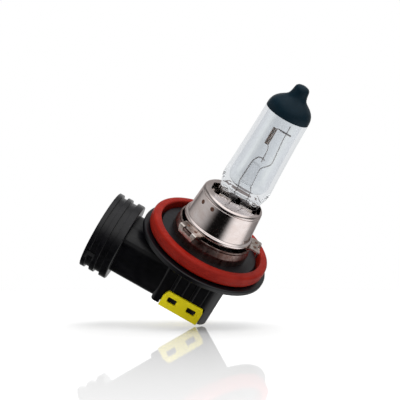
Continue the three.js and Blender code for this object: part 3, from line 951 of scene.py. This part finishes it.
def column():
    outline = rectangle(COLUMN_X, (-COLUMN_Y, COLUMN_Y), [0.9, 2.6, 2.6, 0.9])
    return prism("column", outline, COLUMN_BOTTOM, FLANGE_BOTTOM + 0.5, bevel=(0.5, 0))


def neck():
    outline = rectangle((-6.8, 6.8), (PORT_Z - 6.5, PORT_Z + 6.5), [4.4] * 4)
    return prism("neck", outline, COLLAR_X[1] - 1, COLUMN_X[0] + 1, turn=ALONG_X)


FACE_RIBS = [(-1.9, 0.42, 0.42), (0.75, 0.16, 0.2), (3.1, 0.42, 0.42), (5.6, 0.14, 0.18)]


def face_ribs():
    """Upright ribs on the front and back of the column, each (x, half width, height)."""
    made = []
    for x, half, height in FACE_RIBS:
        for y in mirrored(COLUMN_Y - 0.5, COLUMN_Y + height):
            made.append(slab("rib", (x - half, x + half), y, (-17.0, FLANGE_BOTTOM + 0.2), 0.1))
    return made


def base_hollows():
    bore = [(0, -9.6), (5.6, -9.6), (5.6, FLANGE_BOTTOM), (7.4, FLANGE_TOP), (7.4, 0), (0, 0)]
    cup = rounded([(0, COLLAR_X[0] - 1, 0), (CUP_RADIUS + 0.35, COLLAR_X[0] - 1, 0),
                   (CUP_RADIUS + 0.35, COLLAR_X[0], 0.2), (CUP_RADIUS, COLLAR_X[0] + 0.4, 0.3),
                   (CUP_RADIUS, -17.6, 0.4), (0, -17.6, 0)])
    socket = rectangle((-5.3, 5.3), (PORT_Z - 5.0, PORT_Z + 5.0), [2.0] * 4)
    pocket = rectangle((-4.6, 4.6), (PORT_Z - 4.4, PORT_Z + 4.4), [0.5] * 4)
    slot = [(9.0, -6.7), (9.54, -6.7), (9.54, 0), (9.0, 0)]
    made = [
        lathe("bore", bore, sides=96), lathe("cup", cup, turn=ALONG_X, centre=(0, 0, PORT_Z), sides=96),
        prism("socket", socket, -18.6, SOCKET_END, turn=ALONG_X),
        prism("pocket", pocket, -7.2, -3.0, turn=ALONG_X),
        slab("chamber", (-3.4, 6.8), (-5, 5), (COLUMN_BOTTOM - 1, -9), 0),
        lathe("slot", slot, sides=160, closed=True),
    ]
    for y in mirrored(BLADE_Y - 1.6, BLADE_Y + 1.6):
        made.append(slab("blade_slot", (SOCKET_END - 0.5, -6.8), y, (PORT_Z - 0.6, PORT_Z + 0.6), 0))
    return made


def cover_recess():
    x = (COVER_LOW.x - GAP, COVER_HIGH.x + GAP)
    floor = COVER_FACE - FLAP - GAP
    made = []
    for y in mirrored(floor, COLUMN_Y + 1):
        made.append(slab("recess", x, y, (COLUMN_BOTTOM - 1, COVER_HIGH.z + GAP), 0))
    under_z = (COLUMN_BOTTOM - 1, COLUMN_BOTTOM + FLAP + GAP)
    made.append(slab("under", x, (-COLUMN_Y - 1, COLUMN_Y + 1), under_z, 0))
    return made


CATCH_X, CATCH_Z, CATCH_HALF = (-0.65, 4.4), -19.5, (1.12, 0.75)


def catch_pegs():
    """A peg for each window of the cover, just short of the flap's face."""
    made = []
    z = (CATCH_Z - CATCH_HALF[1] + GAP, CATCH_Z + CATCH_HALF[1] - GAP)
    for y in mirrored(5.6, COVER_FACE - 0.15):
        for middle in CATCH_X:
            x = (middle - CATCH_HALF[0] + GAP, middle + CATCH_HALF[0] - GAP)
            made.append(slab("peg", x, y, z, 0.1))
    return made


LATCH_TURN = 13  # degrees below the middle of the collar's side


def collar_latches():
    """Cutters for a notch with a sloping floor in each side of the collar, below its middle."""
    slope = rounded_loop([(0.4, 2.6, 0), (-1.2, 0.7, 0.1), (-1.2, 0.4, 0.1), (0.4, -1.2, 0)])
    made = []
    for side in (-1, 1):
        cutter = prism("latch", slope, 0, 2.3, turn=ALONG_X)
        cutter.data.transform(Matrix.Translation(Vector((0, COLLAR_RADIUS, 0)) * MM))
        cutter.data.transform(Matrix.Rotation(math.radians(-LATCH_TURN), 4, "X"))
        if side < 0:
            cutter.data.transform(Matrix.Scale(-1, 4, (0, 1, 0)))
            cutter.data.flip_normals()
        cutter.data.transform(Matrix.Translation(Vector((COLLAR_X[0] + 0.45, 0, PORT_Z)) * MM))
        made.append(cutter)
    return made


def base():
    body = flange()
    combine(body, [column(), neck(), collar(), *face_ribs()], "UNION")
    combine(body, [*base_hollows(), *cover_recess(), *collar_latches()], "DIFFERENCE")
    combine(body, catch_pegs(), "UNION")
    place_piece(body, "black_plastic", "black_plastic", "base_body")


def cover():
    x = (COVER_LOW.x, COVER_HIGH.x)
    plate = slab("cover", x, (-COVER_FACE, COVER_FACE), (COLUMN_BOTTOM, COLUMN_BOTTOM + FLAP), 0.12)
    flaps = []
    for side in (-1, 1):
        outline = rounded_loop([
            (x[0], COLUMN_BOTTOM, 0.15), (x[1], COLUMN_BOTTOM, 0.15), (x[1], COVER_HIGH.z - 1.1, 0.3),
            (x[1] - 0.45, COVER_HIGH.z, 0.3), (x[0] + 0.75, COVER_HIGH.z, 0.3),
            (x[0], COVER_HIGH.z - 1.7, 0.4),
        ])
        y = sorted((side * (COVER_FACE - FLAP), side * COVER_FACE))
        bevel = (0.12, 0) if side < 0 else (0, 0.12)
        flaps.append(prism("flap", outline, *y, bevel=bevel, turn=ALONG_Y))
    combine(plate, flaps, "UNION")
    windows = []
    window_z = (CATCH_Z - CATCH_HALF[1], CATCH_Z + CATCH_HALF[1])
    for middle in CATCH_X:
        outline = rectangle((middle - CATCH_HALF[0], middle + CATCH_HALF[0]), window_z, [0.12] * 4)
        windows.append(prism("window", outline, -COVER_FACE - 1, COVER_FACE + 1, turn=ALONG_Y))
    combine(plate, windows, "DIFFERENCE")
    place_piece(plate, "yellow_plastic", "yellow_plastic", "bottom_cover")


def seal():
    """Silicone ring with a flat top, a soft shoulder and a moulding line round its edge."""
    low, top, outer = SEAL_LOW.z, SEAL_HIGH.z, SEAL_HIGH.x
    inner = 12.7
    middle = (low + top) / 2
    profile = [
        (inner, low, 0.4), (outer - 0.1, low, 0.7), (outer - 0.06, middle - 0.05, 0.05),
        (outer, middle, 0.03), (outer - 0.06, middle + 0.05, 0.05), (outer - 0.12, top, 0.75),
        (inner + 0.1, top, 0.45),
    ]
    piece = lathe("seal", rounded_loop(profile), sides=192, closed=True)
    place_piece(piece, "red_silicone", "red_rubber", "seal_ring", body="seal")


def terminals():
    for place in ("front", "back"):
        low, high = corners(f"blade_terminal_{place}")
        middle = (low.y + high.y) / 2
        half = (high.y - low.y) / 2
        outline = rounded_loop([
            (low.x, middle - half * 0.55, 0.2), (low.x + 0.9, middle - half, 0.3),
            (high.x, middle - half, 0), (high.x, middle + half, 0),
            (low.x + 0.9, middle + half, 0.3), (low.x, middle + half * 0.55, 0.2),
        ])
        blade = prism(f"terminal_{place}", outline, low.z, low.z + BLADE_THICK, bevel=(0.12, 0.12))
        riser = slab("riser", (high.x - BLADE_THICK, high.x), (low.y, high.y), (low.z, high.z), 0.12)
        combine(blade, [riser], "UNION")
        place_piece(blade, "tinned_brass", "terminal_brass", f"blade_terminal_{place}")


envelope_glass()
top_coat()
light_source()
bridge()
foils()
outer_leads()
metalwork()
base()
cover()
seal()
terminals()


# ---------- camera ----------
ELEVATION, ROLL = math.radians(25.2), math.radians(29.4)
DISTANCE = 0.150
TARGET = Vector((-0.0065, 0, 0.0035))
LENS = 59.04

BACK = Vector((0, -math.cos(ELEVATION), math.sin(ELEVATION)))
LEVEL = Vector((1, 0, 0))
UPRIGHT = BACK.cross(LEVEL)
RIGHT = LEVEL * math.cos(ROLL) + UPRIGHT * math.sin(ROLL)
UP = -LEVEL * math.sin(ROLL) + UPRIGHT * math.cos(ROLL)


def make_camera():
    data = bpy.data.cameras.new("camera")
    data.lens, data.sensor_width = LENS, 36
    data.clip_start, data.clip_end = 0.005, 10
    camera = bpy.data.objects.new("camera", data)
    turn = Matrix((RIGHT, UP, BACK)).transposed().to_4x4()
    camera.matrix_world = Matrix.Translation(TARGET + BACK * DISTANCE) @ turn
    bpy.context.scene.collection.objects.link(camera)
    bpy.context.scene.camera = camera


# ---------- light ----------
def in_view(sideways, towards, up):
    """A direction in the picture: to the right, towards the camera and up."""
    return (RIGHT * sideways + BACK * towards + UP * up).normalized()


def round_lamp(degrees, elevation):
    """A direction round the lamp axis, counted from the camera's side, and up along the axis."""
    a, e = math.radians(degrees), math.radians(elevation)
    return Vector((math.sin(a) * math.cos(e), -math.cos(a) * math.cos(e), math.sin(e)))


# The studio: each card is (direction of its middle, degrees to where it starts to fade,
# degrees to where it has gone, strength).
CARDS = [
    (in_view(0, -1, 0.1), 20, 42, 0.9),  # backdrop
    (round_lamp(180, 35), 30, 62, 0.42),  # above the backdrop
    (round_lamp(10, 82), 30, 64, 1.15),  # overhead softbox
    (round_lamp(68, -25), 20, 50, 1.02),  # right
    (round_lamp(132, -25), 20, 65, 0.34),  # right, behind
    (round_lamp(-84, -22), 9, 62, 0.5),  # left
    (round_lamp(-135, -25), 20, 60, 0.2),  # left, behind
]
BACKDROP = (in_view(0, -1, 0.1), 70, 150, 0.92)  # how wide the backdrop is behind the glass
DARK = 0.004


def make_world():
    world = bpy.data.worlds.new("studio")
    bpy.context.scene.world = world
    world.use_nodes = True
    world.node_tree.nodes.clear()
    graph = Graph(world.node_tree)
    direction = graph.node("ShaderNodeTexCoord").outputs["Generated"]

    def glow_of(card):
        middle, start, gone, strength = card
        dot = graph.node("ShaderNodeVectorMath", operation="DOT_PRODUCT")
        graph.link(direction, dot.inputs[0])
        dot.inputs[1].default_value = middle
        far, near = math.cos(math.radians(gone)), math.cos(math.radians(start))
        return graph.fade(dot.outputs["Value"], far, near, 0, strength)

    def background():
        made = graph.node("ShaderNodeBackground")
        made.inputs["Color"].default_value = (1, 1, 1, 1)
        return made

    total = glow_of(CARDS[0])
    for card in CARDS[1:]:
        total = graph.math("MAXIMUM", total, glow_of(card))
    path = graph.node("ShaderNodeLightPath")
    wide = graph.math("MULTIPLY", glow_of(BACKDROP), path.outputs["Is Transmission Ray"])
    total = graph.math("MAXIMUM", total, wide)
    studio, white = background(), background()
    graph.link(graph.math("ADD", total, DARK), studio.inputs["Strength"])
    mix = graph.node("ShaderNodeMixShader")
    graph.link(path.outputs["Is Camera Ray"], mix.inputs["Fac"])
    graph.link(studio.outputs[0], mix.inputs[1])
    graph.link(white.outputs[0], mix.inputs[2])
    output = graph.node("ShaderNodeOutputWorld")
    graph.link(mix.outputs[0], output.inputs["Surface"])


SOFTBOX_DISTANCE = 0.5
SOFTBOXES = {  # direction, size, power
    "overhead": (in_view(0.05, 0.0, 1.0), 0.45, 2.3),
    "fill": (in_view(0.2, 1.0, 0.15), 0.3, 0.25),
    "back": (in_view(0.1, -1.0, 0.7), 0.5, 1.6),
}


def softbox(name, direction, size, power):
    data = bpy.data.lights.new(name, "AREA")
    data.shape, data.size, data.energy = "DISK", size, power
    light = bpy.data.objects.new(name, data)
    light.location = TARGET + direction * SOFTBOX_DISTANCE
    light.rotation_euler = direction.to_track_quat("Z", "Y").to_euler()
    light.visible_glossy = False
    light.visible_transmission = False
    bpy.context.scene.collection.objects.link(light)


# ---------- floor ----------
FLOOR_TILT = math.radians(-6)  # how far the camera looks down on the floor
FLOOR_RADIUS = 0.30
FLOOR_RINGS, FLOOR_SIDES = 24, 64


def make_floor():
    normal = (UP * math.cos(FLOOR_TILT) + BACK * math.sin(FLOOR_TILT)).normalized()
    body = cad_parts["base_body"]
    touch = min((body.matrix_world @ v.co for v in body.data.vertices), key=lambda p: p.dot(normal))
    bm = bmesh.new()
    rings = [[bm.verts.new((0, 0, 0))]]
    for ring in range(1, FLOOR_RINGS + 1):
        radius = FLOOR_RADIUS / MM * (ring / FLOOR_RINGS) ** 1.5
        angles = (TURN * i / FLOOR_SIDES for i in range(FLOOR_SIDES))
        rings.append([bm.verts.new((radius * math.cos(a), radius * math.sin(a), 0)) for a in angles])
    skin(bm, rings)
    turn = normal.to_track_quat("Z", "Y").to_matrix().to_4x4()
    floor = to_object(bm, "floor", outward=False)
    if floor.data.polygons[0].normal.z < 0:
        floor.data.flip_normals()
    floor.matrix_world = Matrix.Translation(touch) @ turn
    floor.visible_glossy = False
    floor.data.materials.append(floor_paper())


def floor_paper():
    """White glazed sheet that fades out towards its edge and can't be seen from below."""
    look = Look("floor_paper", (0.92, 0.92, 0.92), 0.5, Specular_IOR_Level=0.0,
                Emission_Strength=0.22, Emission_Color=(1, 1, 1, 1))
    measure = look.node("ShaderNodeVectorMath", operation="LENGTH")
    look.link(look.place, measure.inputs[0])
    distance = measure.outputs["Value"]
    glaze = look.node("ShaderNodeBsdfGlossy")
    glaze.inputs["Roughness"].default_value = 0.03
    shine = look.node("ShaderNodeMixShader")
    look.link(look.fade(distance, 0, 0.14, 0.66, 0.38), shine.inputs["Fac"])
    look.link(look.shader.outputs[0], shine.inputs[1])
    look.link(glaze.outputs[0], shine.inputs[2])
    below = look.node("ShaderNodeNewGeometry").outputs["Backfacing"]
    clear = look.node("ShaderNodeBsdfTransparent")
    mix = look.node("ShaderNodeMixShader")
    edge = look.fade(distance, FLOOR_RADIUS * 0.3, FLOOR_RADIUS * 0.95, 0, 1)
    look.link(look.math("MAXIMUM", edge, below), mix.inputs["Fac"])
    look.link(shine.outputs[0], mix.inputs[1])
    look.link(clear.outputs[0], mix.inputs[2])
    look.link(mix.outputs[0], look.tree.nodes["Material Output"].inputs["Surface"])
    return look.material


make_camera()
make_world()
for name, settings in SOFTBOXES.items():
    softbox(name, *settings)
make_floor()
bpy.context.scene.view_settings.view_transform = "Standard"
